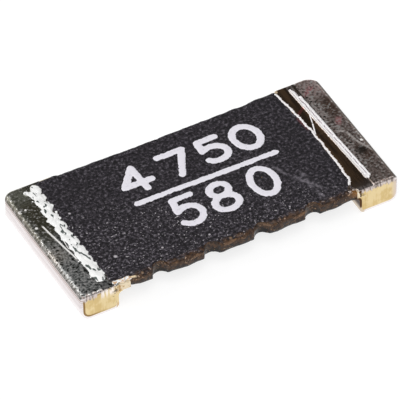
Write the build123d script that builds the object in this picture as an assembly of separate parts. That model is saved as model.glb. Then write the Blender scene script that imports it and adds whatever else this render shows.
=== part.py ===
from build123d import *
import math
import os

# A surface-mount current sense resistor: a slotted alloy strip between two plated terminal bars.
# Millimetres. X runs from terminal to terminal, Y across the strip, Z up from the board.
# The origin is at the middle of the seat, on the board.

# Overall sizes
body_length = 6.35
body_width = 3.04
terminal_height = 0.56

# Terminal bars. The blank was cut a little to one side, so the two feet differ.
left_foot_length = 0.74
right_foot_length = 0.79
tin_thickness = 0.03
end_top_radius = 0.13
end_heel_radius = 0.20
foot_toe_radius = 0.10
neck_radius = 0.09
neck_lip = 0.012

# Rounding left by the punch: along the top side edges, and at the outer corners seen from above
edge_roll = 0.09
near_corner_radius = 0.10
far_corner_radius = 0.19

# Resistive strip
strip_thickness = 0.15
strip_inset = 0.08
slot_width = 0.26
slot_pitch = 1.01
slot_web = 1.05
slot_mouth_radius = 0.10
near_slot_count = 4
slot_pattern_x = -0.055

# Weld seams. Each fills a vee between the bar and the strip. The left one froze as a row of ripples,
# and the right one as a smooth trough with two low ridges along its outer side.
weld_setback = 0.165
weld_half_top = 0.15
weld_half_root = 0.03
weld_side_margin = 0.12
weld_clearance = 0.01
ripple_radius = 0.12
ripple_height = 0.055
ripple_pitch = 0.20
ridge_half_width = 0.035
ridge_height = 0.025
ridge_pitch = 0.06
ridge_count = 2

# Coating
coating_over = 0.02
coating_under = 0.105
coating_side = 0.06
coating_lower_radius = 0.09
coating_upper_radius = 0.045
coating_end_rise = 0.07
coating_end_run = 0.70
far_edge_waist = 0.03
left_bare_neck = 0.24
right_bare_neck = 0.045
lap_clearance = 0.01
right_lap = 0.01
end_bow = 0.07
notch_flare = 0.035
notch_depth = 0.15

# Heights and places that follow from the sizes above
strip_top = terminal_height - tin_thickness
strip_bottom = strip_top - strip_thickness
strip_half_width = body_width / 2 - strip_inset
coating_top = strip_top + coating_over
coating_bottom = strip_bottom - coating_under
coating_half_width = strip_half_width + coating_side
half_length = body_length / 2
weld_centre = {
    "left": -half_length + left_foot_length - weld_setback,
    "right": half_length - right_foot_length + weld_setback,
}
wrap_end = {
    "left": -half_length + left_foot_length + left_bare_neck,
    "right": half_length - right_foot_length - right_bare_neck,
}
foot_length = {"left": left_foot_length, "right": right_foot_length}
overrun = body_length


def along_y(profile, width):
    """Solid from a side view, drawn with X across and Z up, centred on Y = 0."""
    return extrude(Plane.XZ * profile, amount=width / 2, both=True)


def polygon(*points):
    return make_face(Polyline(*points, close=True))


def slab(x_low, x_high, y_low, y_high, z_low, z_high):
    box = Box(x_high - x_low, y_high - y_low, z_high - z_low)
    return Pos((x_low + x_high) / 2, (y_low + y_high) / 2, (z_low + z_high) / 2) * box


def punched_blank():
    """Envelope of the punched blank: rolled top side edges and rounded outer corners."""
    end_view = RectangleRounded(body_width, 2 * terminal_height, edge_roll)
    along_strip = extrude(Plane.YZ * end_view, amount=overrun, both=True)
    plan = Rectangle(body_length, body_width)
    plan = fillet(plan.vertices().group_by(Axis.Y)[0], near_corner_radius)
    plan = fillet(plan.vertices().group_by(Axis.Y)[-1], far_corner_radius)
    return along_strip & extrude(plan, amount=overrun, both=True)


def bar_profile(foot, inset):
    """Side view of a bar from its outer end at U = 0, running on level into the strip."""
    top = terminal_height - inset
    neck = strip_bottom - neck_lip + inset
    outline = FilletPolyline(
        (foot + overrun, top),
        (inset, top),
        (inset, inset),
        (foot - inset, inset),
        (foot - inset, neck),
        (foot + overrun, neck),
        radius=[end_top_radius - inset, end_heel_radius - inset, foot_toe_radius - inset, neck_radius + inset],
    )
    return make_face(outline + Line((foot + overrun, neck), (foot + overrun, top)))


def bar_region(foot):
    """The part of that side view which is terminal: outside the weld, and under the strip's end."""
    root = foot - weld_setback
    return polygon(
        (-overrun, -overrun),
        (foot + neck_radius, -overrun),
        (foot + neck_radius, strip_bottom),
        (root - weld_half_root, strip_bottom),
        (root - weld_half_top, strip_top),
        (root - weld_half_top, overrun),
        (-overrun, overrun),
    )


def placed_at_end(solid, side):
    """Moves an end piece drawn from U = 0 to its end of the part."""
    moved = Pos(-half_length, 0, 0) * solid
    return moved if side == "left" else mirror(moved, about=Plane.YZ)


def terminal(side, blank):
    foot = foot_length[side]
    core = bar_profile(foot, tin_thickness) & bar_region(foot)
    return placed_at_end(along_y(core, overrun), side) & blank


def tin_plate(side, blank):
    foot = foot_length[side]
    skin = (bar_profile(foot, 0) - bar_profile(foot, tin_thickness)) & bar_region(foot)
    return placed_at_end(along_y(skin, overrun), side) & blank


def slot_places():
    """Centres of the slots cut from the near edge, and of those between them from the far edge."""
    near = [slot_pattern_x + (i - (near_slot_count - 1) / 2) * slot_pitch for i in range(near_slot_count)]
    far = [x + slot_pitch / 2 for x in near[:-1]]
    return near, far


def slot(x, side):
    """One slot seen from above: a round inner end, and a flared mouth at the strip's edge."""
    half = slot_width / 2
    edge = side * strip_half_width
    tip = -side * (strip_half_width - slot_web)
    flare = slot_mouth_radius
    centre = edge - side * flare
    mouth = polygon(
        (x - half - flare, edge),
        (x + half + flare, edge),
        (x + half + flare, centre),
        (x - half - flare, centre),
    )
    mouth -= Pos(x - half - flare, centre) * Circle(flare)
    mouth -= Pos(x + half + flare, centre) * Circle(flare)
    beyond = edge + side * flare
    shank_end = tip + side * half
    shank = polygon((x - half, shank_end), (x + half, shank_end), (x + half, beyond), (x - half, beyond))
    return shank + mouth + Pos(x, shank_end) * Circle(half)


def resistive_element(blank):
    """Strip slotted into a winding path, with a wide land at each end that meets its weld."""
    left, right = weld_centre["left"], weld_centre["right"]
    side_view = polygon(
        (left + weld_half_root, strip_bottom),
        (right - weld_half_root, strip_bottom),
        (right - weld_half_top, strip_top),
        (left + weld_half_top, strip_top),
    )
    strip = along_y(side_view, overrun) & blank
    near_edge = slab(wrap_end["left"], wrap_end["right"], -overrun, -strip_half_width, 0, terminal_height)
    strip -= [near_edge, mirror(near_edge, about=Plane.XZ)]
    near, far = slot_places()
    for x in near:
        strip -= extrude(slot(x, -1), amount=terminal_height)
    for x in far:
        strip -= extrude(slot(x, 1), amount=terminal_height)
    return strip


def ripple_line():
    """Where the left ripples run: along the outer side of the seam, just clear of the tin."""
    return weld_centre["left"] - weld_half_top + weld_clearance + ripple_radius


def ball_radius(half_width, height):
    """Radius of the ball whose cap has this half width and height."""
    return (half_width**2 + height**2) / (2 * height)


def above_strip(solid):
    return solid & slab(-overrun, overrun, -overrun, overrun, strip_top, overrun)


def weld_ripples():
    """A row of overlapping low domes along the left seam, as the weld pool froze."""
    radius = ball_radius(ripple_radius, ripple_height)
    reach = body_width / 2 - weld_side_margin - ripple_radius
    count = 1 + 2 * math.floor(reach / ripple_pitch)
    step = 2 * reach / (count - 1)
    centre_z = strip_top + ripple_height - radius
    domes = [Pos(ripple_line(), -reach + i * step, centre_z) * Sphere(radius) for i in range(count)]
    return above_strip(Part() + domes)


def weld_ridges():
    """Low round-ended ridges side by side along the outer side of the right seam."""
    radius = ball_radius(ridge_half_width, ridge_height)
    reach = body_width / 2 - weld_side_margin - ridge_half_width
    centre_z = strip_top + ridge_height - radius
    outermost = weld_centre["right"] + weld_half_top - weld_clearance - ridge_half_width
    outline = SlotCenterToCenter(2 * reach, 2 * radius, rotation=90)
    ridge = revolve(outline & Pos(radius, 0) * Rectangle(2 * radius, overrun), Axis.Y)
    ridges = [Pos(outermost - i * ridge_pitch, 0, centre_z) * ridge for i in range(ridge_count)]
    return above_strip(Part() + ridges)


def weld_seam(side, blank):
    """Weld metal in the vee between bar and strip, with what froze proud of it on top."""
    x = weld_centre[side]
    vee = polygon(
        (x - weld_half_root, strip_bottom),
        (x + weld_half_root, strip_bottom),
        (x + weld_half_top, strip_top),
        (x - weld_half_top, strip_top),
    )
    seam = along_y(vee, overrun) & blank
    return seam + (weld_ripples() if side == "left" else weld_ridges())


def coating_side_view():
    """Flat over the strip, with an underside that lifts towards both ends."""
    left, right = wrap_end["left"], wrap_end["right"]
    rise, run = coating_end_rise, coating_end_run
    lift_radius = (rise**2 + run**2) / (2 * rise)
    outline = (
        Line((left, coating_top), (right, coating_top))
        + Line((right, coating_top), (right, coating_bottom + rise))
        + RadiusArc((right, coating_bottom + rise), (right - run, coating_bottom), lift_radius)
        + Line((right - run, coating_bottom), (left + run, coating_bottom))
        + RadiusArc((left + run, coating_bottom), (left, coating_bottom + rise), lift_radius)
        + Line((left, coating_bottom + rise), (left, coating_top))
    )
    return make_face(outline)


def notches():
    """Round bites out of the near edge, where the coating sank into the mouths of the near slots."""
    radius = slot_width / 2 + notch_flare
    centre_y = -coating_half_width - radius + notch_depth
    return [Pos(x, centre_y) * Circle(radius) for x in slot_places()[0]]


def coating_plan():
    """Seen from above: a slightly waisted far edge, and a round notch at each near slot."""
    left, right, half = wrap_end["left"], wrap_end["right"], coating_half_width
    outline = (
        Polyline((left, half), (left, -half), (right, -half), (right, half))
        + ThreePointArc((right, half), ((left + right) / 2, half - far_edge_waist), (left, half))
    )
    return make_face(outline) - notches()


def coating_cap():
    """Thin top layer that runs out over the bare lands, with bowed ends."""
    half = body_width / 2 - edge_roll
    left = ripple_line() + ripple_radius + lap_clearance
    right = weld_centre["right"] - weld_half_top + right_lap
    outline = (
        ThreePointArc((left + end_bow, half), (left, 0), (left + end_bow, -half))
        + Line((left + end_bow, -half), (right - end_bow, -half))
        + ThreePointArc((right - end_bow, -half), (right, 0), (right - end_bow, half))
        + Line((right - end_bow, half), (left + end_bow, half))
    )
    cap = make_face(outline) - notches()
    return Pos(0, 0, strip_top) * extrude(cap, amount=coating_over)


def coating_end_view():
    """Section across the strip, with rounded upper and lower edges."""
    half = coating_half_width
    low, high = coating_lower_radius, coating_upper_radius
    return make_face(
        FilletPolyline(
            (-half, coating_bottom),
            (half, coating_bottom),
            (half, coating_top),
            (-half, coating_top),
            radius=[low, low, high, high],
            close=True,
        )
    )


def coating(others):
    """Epoxy round the strip, filling the slots and lapping on to the lands and the left weld."""
    wrap = along_y(coating_side_view(), overrun)
    wrap &= extrude(coating_plan(), amount=terminal_height)
    wrap &= extrude(Plane.YZ * coating_end_view(), amount=half_length, both=True)
    body = wrap + coating_cap()
    for other in others:
        body -= other
    return body


def main():
    blank = punched_blank()
    pieces = {"resistive_element": resistive_element(blank)}
    for side in ("left", "right"):
        pieces[side + "_terminal"] = terminal(side, blank)
        pieces[side + "_tin_plate"] = tin_plate(side, blank)
        pieces[side + "_weld_seam"] = weld_seam(side, blank)
    pieces["coating"] = coating(list(pieces.values()))
    os.makedirs("parts", exist_ok=True)
    for name, solid in pieces.items():
        export_step(solid, "parts/" + name + ".step")


main()
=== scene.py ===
"""Looks for a surface-mount current sense resistor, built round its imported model.

Every piece is shaped in millimetres and brought to metres when it is finished.
"""

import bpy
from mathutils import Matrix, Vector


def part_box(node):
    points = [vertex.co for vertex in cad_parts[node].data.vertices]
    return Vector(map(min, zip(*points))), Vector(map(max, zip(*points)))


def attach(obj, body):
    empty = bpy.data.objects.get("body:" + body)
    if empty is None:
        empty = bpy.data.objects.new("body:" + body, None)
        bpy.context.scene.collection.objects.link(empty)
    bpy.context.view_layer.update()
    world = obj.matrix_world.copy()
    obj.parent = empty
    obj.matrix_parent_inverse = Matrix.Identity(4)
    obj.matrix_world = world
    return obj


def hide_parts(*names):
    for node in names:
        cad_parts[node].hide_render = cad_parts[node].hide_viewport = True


bl_info = {
    "name": "Current sense resistor",
    "version": (1, 0, 0),
    "blender": (4, 5, 0),
    "location": "3D view > Sidebar > Resistor",
    "description": "Tinned terminal bars, weld seams, epoxy coating and print of a metal strip resistor",
    "category": "Object",
}

import contextlib
import functools
import math
import random

import bmesh
import bpy
from bpy.props import FloatProperty, FloatVectorProperty, IntProperty, PointerProperty, StringProperty
from mathutils import Matrix, Vector, noise

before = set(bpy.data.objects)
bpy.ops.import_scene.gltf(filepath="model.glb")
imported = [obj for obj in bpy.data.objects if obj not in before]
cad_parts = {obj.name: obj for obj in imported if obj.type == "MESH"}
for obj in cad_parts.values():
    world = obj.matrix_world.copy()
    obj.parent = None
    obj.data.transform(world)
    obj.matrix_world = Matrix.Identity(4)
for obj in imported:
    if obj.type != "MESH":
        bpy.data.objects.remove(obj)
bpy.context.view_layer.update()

MM = 0.001
SIDES = ("left", "right")
SEAM_LAP = 0.012  # how far a weld seam laps over the bar that holds it, so that no gap shows


def box_mm(*nodes):
    """Lowest and highest corner of CAD nodes taken together, in millimetres."""
    corners = [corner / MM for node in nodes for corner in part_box(node)]
    low = Vector(min(corner[i] for corner in corners) for i in range(3))
    high = Vector(max(corner[i] for corner in corners) for i in range(3))
    return low, high


WHOLE_LOW, WHOLE_HIGH = box_mm("left_tin_plate", "right_tin_plate")
HALF_LENGTH = WHOLE_HIGH.x
HALF_WIDTH = WHOLE_HIGH.y
TOP = WHOLE_HIGH.z
STRIP_LOW, STRIP_HIGH = box_mm("resistive_element")
COAT_LOW, COAT_HIGH = box_mm("coating")


def number_property(label, default, **settings):
    """A plain number."""
    return FloatProperty(name=label, description=label, default=default, **settings)


def length_property(label, default):
    """A length in millimetres."""
    return FloatProperty(name=label, description=label + ", in millimetres", default=default, min=0.0)


def colour_property(label, red, green, blue):
    """A colour as a picture shows it, each part from 0 to 255."""
    shown = (red / 255, green / 255, blue / 255)
    kind = {"subtype": "COLOR_GAMMA", "size": 3, "min": 0.0, "max": 1.0}
    return FloatVectorProperty(name=label, description=label, default=shown, **kind)


class ResistorBarSettings(bpy.types.PropertyGroup):
    """The tinned terminal bars."""

    left_foot: length_property("Length of the left foot", 0.74)
    right_foot: length_property("Length of the right foot", 0.79)
    end_top_radius: length_property("Radius along the top outer edge", 0.13)
    end_heel_radius: length_property("Radius along the lower outer edge", 0.20)
    toe_radius: length_property("Radius along the foot's inner lower edge", 0.10)
    neck_radius: length_property("Radius in the corner under the neck", 0.09)
    edge_roll: length_property("Radius of the rolled top side edges", 0.07)
    near_corner: length_property("Radius of the near outer corners seen from above", 0.08)
    far_left_corner: length_property("Radius of the far left corner seen from above", 0.20)
    far_right_corner: length_property("Radius of the far right corner seen from above", 0.28)
    tin_thickness: length_property("Thickness of the tin where the bars were cut", 0.045)
    waviness: length_property("Height of the slow waves in the tin", 0.006)
    tin_frost: colour_property("Crystalline grey parts of the tin", 190, 192, 191)
    # Painted reflection: the smooth dark parts of the tin tops are painted dark for the dark room they
    # mirror, while the end faces keep the tin's pale colour.
    left_tin_dark_reflection: colour_property("Smooth dark parts of the left tin", 116, 112, 94)
    right_tin_dark_reflection: colour_property("Smooth dark parts of the right tin", 132, 108, 96)
    tin_end: colour_property("Tin on the outer end faces", 220, 211, 211)
    tin_hem: colour_property("Tin dragged over the near and far edges", 216, 204, 199)
    run_out: colour_property("Thin brown coating on the right neck's cut edge", 84, 56, 32)
    gold: colour_property("Cut copper alloy on the bars' sides", 232, 211, 163)
    gold_deep: colour_property("Deeper patches on the cut face", 216, 190, 134)


class ResistorWeldSettings(bpy.types.PropertyGroup):
    """The weld seams and the bare strip."""

    lump_pitch: length_property("Distance from one ripple to the next", 0.125)
    lump_height: length_property("Height of the left ripples above the strip", 0.056)
    ridge_lean: number_property("Slope of the right ridges across the part", 0.035)
    ridge_height: length_property("Height of the right ridges above the strip", 0.054)
    left_voxel: length_property("Mesh size of the left seam", 0.016)
    right_voxel: length_property("Mesh size of the right seam", 0.011)
    # Painted highlight: proud weld metal is painted white, dull and not metallic, for the lamp light it
    # throws back.
    bright: colour_property("Freshly frozen weld metal", 255, 255, 254)
    # Painted reflection: the smooth band is painted dark brown for the dark room it mirrors.
    dark: colour_property("Smooth band of the right seam", 150, 120, 92)
    alloy: colour_property("Bare resistive strip", 246, 228, 196)
    alloy_deep: colour_property("Deeper patches on the strip's cut edge", 190, 150, 92)


class ResistorCoatingSettings(bpy.types.PropertyGroup):
    """The epoxy coating."""

    voxel: length_property("Mesh size of the coating", 0.021)
    notch_depth: length_property("Depth of the notches in the near edge", 0.15)
    grain_height: length_property("Height of the fine grain", 0.007)
    epoxy: colour_property("Top of the coating", 43, 39, 45)
    epoxy_edge: colour_property("Thin glossy edge of the coating", 50, 33, 21)


class ResistorPrintSettings(bpy.types.PropertyGroup):
    """The print on the coating."""

    upper_row: StringProperty(name="Upper row", description="Digits above the bar", default="4750")
    lower_row: StringProperty(name="Lower row", description="Digits below the bar", default="580")
    stroke: length_property("Width of the digits' strokes", 0.148)
    bar_stroke: length_property("Width of the bar between the rows", 0.130)
    film: length_property("How far the ink stands above the coating", 0.008)
    voxel: length_property("Mesh size of the ink before it is flattened", 0.013)
    ink: colour_property("Ink of the print", 238, 235, 243)


class ResistorStageSettings(bpy.types.PropertyGroup):
    """Camera, floor and light."""

    azimuth: number_property("Camera's bearing", -0.48117, subtype="ANGLE")
    elevation: number_property("Camera's height", 0.76075, subtype="ANGLE")
    roll: number_property("Camera's roll", -0.02227, subtype="ANGLE")
    distance: length_property("Distance from the camera to the part's origin", 110.04)
    pixels_per_mm: number_property("Pixels for a millimetre at the origin", 56.398)
    centre_x: number_property("Pixel column of the origin", 200.44)
    centre_y: number_property("Pixel row of the origin", 207.33)
    picture: IntProperty(name="Picture", description="Width of the picture in pixels", default=400)
    ceiling: number_property("Brightness of the room above", 0.16)
    room: number_property("Brightness of the room on dull surfaces", 0.42)


def linear(colour):
    """A picture colour as the light it stands for."""
    parts = [c / 12.92 if c <= 0.04045 else ((c + 0.055) / 1.055) ** 2.4 for c in colour]
    return (*parts, 1.0)


# Modelling helpers. Lengths are millimetres until a piece is finished.


def clear_selection():
    if bpy.context.object and bpy.context.object.mode != "OBJECT":
        bpy.ops.object.mode_set(mode="OBJECT")
    bpy.ops.object.select_all(action="DESELECT")


def make_active(piece):
    clear_selection()
    piece.select_set(True)
    bpy.context.view_layer.objects.active = piece


@contextlib.contextmanager
def editing(piece):
    """Opens one piece in edit mode, and closes it again."""
    make_active(piece)
    bpy.ops.object.mode_set(mode="EDIT")
    yield
    bpy.ops.object.mode_set(mode="OBJECT")


def fix_place(scale=(1, 1, 1)):
    """Puts the active piece's place and scale into its mesh."""
    piece = bpy.context.object
    piece.scale = scale
    bpy.ops.object.transform_apply(location=True, rotation=True, scale=True)
    return piece


def block(low, high):
    """A rectangular block between two corners."""
    clear_selection()
    low, high = Vector(low), Vector(high)
    bpy.ops.mesh.primitive_cube_add(size=1, location=(low + high) / 2)
    return fix_place(high - low)


def ball(x, y, z, radii):
    """A ball, or an egg with three radii."""
    clear_selection()
    bpy.ops.mesh.primitive_uv_sphere_add(segments=20, ring_count=12, radius=1.0, location=(x, y, z))
    return fix_place(radii)


def choose(piece, kind, passes):
    """In edit mode, selects the edges or faces all of whose points pass the test."""
    bpy.ops.mesh.select_mode(type=kind)
    bpy.ops.mesh.select_all(action="DESELECT")
    shape = bmesh.from_edit_mesh(piece.data)
    for item in shape.edges if kind == "EDGE" else shape.faces:
        if all(passes(vert.co) for vert in item.verts):
            item.select_set(True)
    bmesh.update_edit_mesh(piece.data)


def close_to(value, target, reach=1e-4):
    return abs(value - target) < reach


def round_edges(piece, passes, radius, segments=10):
    """Rounds the edges whose points pass the test."""
    with editing(piece):
        choose(piece, "EDGE", passes)
        bpy.ops.mesh.bevel(offset=radius, segments=segments, affect="EDGES", clamp_overlap=False)


def slice_up(piece, axis, low, high, step):
    """Cuts the surface into strips across an axis, so that it can be shaped finely."""
    normal = Vector((0.0, 0.0, 0.0))
    normal[axis] = 1.0
    count = max(1, round((high - low) / step))
    with editing(piece):
        for i in range(1, count):
            bpy.ops.mesh.select_all(action="SELECT")
            bpy.ops.mesh.bisect(plane_co=normal * (low + (high - low) * i / count), plane_no=normal)


def apply_modifier(piece, kind, **settings):
    make_active(piece)
    modifier = piece.modifiers.new(kind.lower(), kind)
    for key, value in settings.items():
        setattr(modifier, key, value)
    bpy.ops.object.modifier_apply(modifier=modifier.name)


def combine(piece, cutter, operation):
    """Cuts, joins or intersects a piece with another, which is used up."""
    apply_modifier(piece, "BOOLEAN", object=cutter, operation=operation, solver="EXACT")
    bpy.data.objects.remove(cutter)


def join(pieces):
    """Puts separate meshes into one object."""
    make_active(pieces[0])
    for other in pieces[1:]:
        other.select_set(True)
    bpy.ops.object.join()
    return bpy.context.object


def skin_over(piece, voxel):
    """Melts what is joined into one closed even skin."""
    apply_modifier(piece, "REMESH", mode="VOXEL", voxel_size=voxel, adaptivity=0.0)
    apply_modifier(piece, "SMOOTH", factor=0.5, iterations=1)


def roughen(piece, height, grain):
    """Raises and lowers the surface by soft noise of a given grain size."""
    texture = bpy.data.textures.new("grain", "CLOUDS")
    texture.noise_scale = grain
    texture.noise_depth = 2
    relief = {"texture": texture, "strength": height, "mid_level": 0.5, "texture_coords": "LOCAL"}
    apply_modifier(piece, "DISPLACE", **relief)
    bpy.data.textures.remove(texture)


def move_points(piece, move):
    """Moves each vertex to where the function puts it."""
    for vert in piece.data.vertices:
        vert.co = move(vert.co)
    piece.data.update()


def finish_piece(piece, name, material, node, angle):
    """Merges, turns faces outwards, smooths, brings to metres and gives to the frame."""
    with editing(piece):
        bpy.ops.mesh.select_all(action="SELECT")
        bpy.ops.mesh.remove_doubles(threshold=1e-5)
        bpy.ops.mesh.normals_make_consistent(inside=False)
    fix_place((MM, MM, MM))
    bpy.ops.object.shade_smooth_by_angle(angle=math.radians(angle))
    piece.name = name
    piece.data.name = name
    piece.data.materials.clear()
    piece.data.materials.append(material)
    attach(piece, "root")
    if node:
        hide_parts(node)


def wobble(x, y, scale, seed):
    """Smooth noise from about -1 to 1."""
    return noise.noise(Vector((x / scale, y / scale, seed)))


# Material helpers


def add_node(tree, kind, inputs=None, **settings):
    """Adds a shader node. An input is a node's output, a field, layers or a plain value."""
    made = tree.nodes.new(kind)
    for key, value in settings.items():
        setattr(made, key, value)
    for key, value in (inputs or {}).items():
        value = getattr(value, "socket", value)
        if isinstance(value, bpy.types.NodeSocket):
            tree.links.new(value, made.inputs[key])
        else:
            made.inputs[key].default_value = value
    return made


class Field:
    """A number that varies over a piece. Of two masks, a * b is both and a | b is either."""

    def __init__(self, tree, socket):
        self.tree = tree
        self.socket = socket

    def math(self, operation, other=0.0):
        made = add_node(self.tree, "ShaderNodeMath", {0: self, 1: other}, operation=operation)
        return Field(self.tree, made.outputs["Value"])

    def __add__(self, other):
        return self.math("ADD", other)

    def __sub__(self, other):
        return self.math("SUBTRACT", other)

    def __rsub__(self, other):
        return (self - other) * -1.0

    def __mul__(self, other):
        return self.math("MULTIPLY", other)

    def __or__(self, other):
        return self.math("MAXIMUM", other)

    def __abs__(self):
        return self.math("ABSOLUTE")

    __radd__ = __add__
    __rmul__ = __mul__

    def step(self, low, high, start=0.0, end=1.0):
        """Eases from start to end while the field goes from low to high."""
        inputs = {"Value": self, "From Min": low, "From Max": high, "To Min": start, "To Max": end}
        made = add_node(self.tree, "ShaderNodeMapRange", inputs, interpolation_type="SMOOTHSTEP")
        return Field(self.tree, made.outputs["Result"])

    def band(self, middle, width):
        """1 where the field is near a middle value, with soft edges half a width away from it."""
        return abs(self - middle).step(width * 0.2, width * 0.5, 1.0, 0.0)


class Layers:
    """Colours laid one over another, each as strongly as its mask says."""

    def __init__(self, tree, base):
        self.tree = tree
        self.socket = linear(base)

    def over(self, mask, colour):
        """Lays a colour, or other layers, over what is there."""
        above = colour if isinstance(colour, Layers) else linear(colour)
        made = add_node(self.tree, "ShaderNodeMix", {0: mask, 6: self.socket, 7: above}, data_type="RGBA")
        self.socket = made.outputs[2]
        return self


class Recipe:
    """A procedural material. Its patterns are laid out in millimetres on the piece itself."""

    def __init__(self, name, colour, roughness, metallic):
        self.material = bpy.data.materials.new(name)
        self.material.use_nodes = True
        self.material.diffuse_color = linear(colour)
        self.tree = self.material.node_tree
        self.shader = self.tree.nodes["Principled BSDF"]
        self.shader.inputs["Base Color"].default_value = linear(colour)
        self.shader.inputs["Roughness"].default_value = roughness
        self.shader.inputs["Metallic"].default_value = metallic
        self.coordinates = self.add("ShaderNodeTexCoord").outputs
        in_mm = {"Vector": self.coordinates["Object"], "Scale": (1 / MM,) * 3}
        self.place = self.add("ShaderNodeMapping", in_mm).outputs["Vector"]
        self.x, self.y, self.z = self.parts(self.place)
        self.plan = self.add("ShaderNodeCombineXYZ", {"X": self.x, "Y": self.y}).outputs["Vector"]

    def add(self, kind, inputs=None, **settings):
        return add_node(self.tree, kind, inputs, **settings)

    def parts(self, vector):
        outputs = self.add("ShaderNodeSeparateXYZ", {"Vector": vector}).outputs
        return [Field(self.tree, output) for output in outputs]

    def layers(self, base):
        return Layers(self.tree, base)

    def noise(self, scale, detail=2.0, roughness=0.5, stretch=(1, 1, 1), shift=(0, 0, 0)):
        """Noise with about this many grains to the millimetre."""
        spread = {"Vector": self.place, "Scale": stretch, "Location": shift}
        place = self.add("ShaderNodeMapping", spread).outputs["Vector"]
        inputs = {"Vector": place, "Scale": scale, "Detail": detail, "Roughness": roughness}
        return Field(self.tree, self.add("ShaderNodeTexNoise", inputs).outputs["Fac"])

    def measure(self, operation, first, second):
        """A number worked out from two vectors."""
        made = self.add("ShaderNodeVectorMath", {0: first, 1: second}, operation=operation)
        return Field(self.tree, made.outputs["Value"])

    def blob(self, x, y, radius, soft=0.5):
        """A round patch seen from above: 1 inside and 0 outside."""
        return self.measure("DISTANCE", self.plan, (x, y, 0.0)).step(radius * (1 - soft), radius, 1.0, 0.0)

    def line(self, start, end, width, wander=0.0, soft=0.6):
        """A scratch from one point to another, seen from above, that may wander sideways."""
        run = Vector(end) - Vector(start)
        along = run.normalized()
        ends = {0: self.plan, 1: (*start, 0.0)}
        offset = self.add("ShaderNodeVectorMath", ends, operation="SUBTRACT").outputs[0]
        done = self.measure("DOT_PRODUCT", offset, (*along, 0.0))
        aside = self.measure("DOT_PRODUCT", offset, (-along.y, along.x, 0.0))
        if wander:
            aside = wander * (self.noise(2.5) - 0.5) + aside
        inside = abs(aside).step(width / 2 * (1 - soft), width / 2, 1.0, 0.0)
        return inside * done.step(0.0, width) * done.step(run.length - width, run.length, 1.0, 0.0)

    def marks(self, shape, *places):
        """Several marks of one shape together."""
        return functools.reduce(Field.__or__, (shape(*place) for place in places))

    def facing(self, axis, low, high):
        """1 where the surface's own outward direction has at least this much of an axis."""
        return self.parts(self.coordinates["Normal"])["XYZ".index(axis)].step(low, high)

    def use(self, **sockets):
        """Links values to the shader's sockets, named with underscores for spaces."""
        for key, value in sockets.items():
            self.tree.links.new(value.socket, self.shader.inputs[key.replace("_", " ")])

    def bump(self, height, rise, strength):
        """Small relief whose full height is given in millimetres."""
        made = self.add("ShaderNodeBump", {"Height": height, "Distance": rise * MM, "Strength": strength})
        self.tree.links.new(made.outputs["Normal"], self.shader.inputs["Normal"])


# Tin and cut faces. A mark's place is seen from above, in millimetres from the part's middle.

# White of painted glints on the tin, also used for its pale marks.
WHITE_GLINT_AND_MARK = (0.98, 0.97, 0.96)
# Dark specks of the tin grain, also used for painted shade.
DARK_GRAIN_AND_SHADE = (0.20, 0.20, 0.18)
LEFT_SHADES = (
    ((-2.80, 0.10), (-2.765, -0.62), 0.07, 0.05),
    ((-2.775, -0.80), (-2.76, -1.25), 0.06, 0.08),
)
# The first line is a painted highlight along the foot of the left seam's outer flank, the second a thin
# scratch.
LEFT_HIGHLIGHTS_AND_SCRATCHES = (
    ((-2.923, 0.444), (-2.77, -0.626), 0.045, 0.03),
    ((-2.762, -0.05), (-2.779, -0.33), 0.022, 0.03),
)
LEFT_SPOTS = ((-3.035, 0.42, 0.038), (-2.99, 0.93, 0.03))
# Painted pink highlights on the right tin top.
PINK_HIGHLIGHTS = (((2.684, 1.056), (3.005, 1.301), 0.13, 0.05), ((2.859, 0.10), (3.036, 0.39), 0.15, 0.03))
PALE_CURVE = (
    ((2.748, 0.057), (2.94, -0.08), 0.07, 0.04),
    ((2.91, -0.05), (2.97, -0.40), 0.07, 0.06),
    ((2.95, -0.34), (3.11, -0.75), 0.07, 0.06),
)


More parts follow.
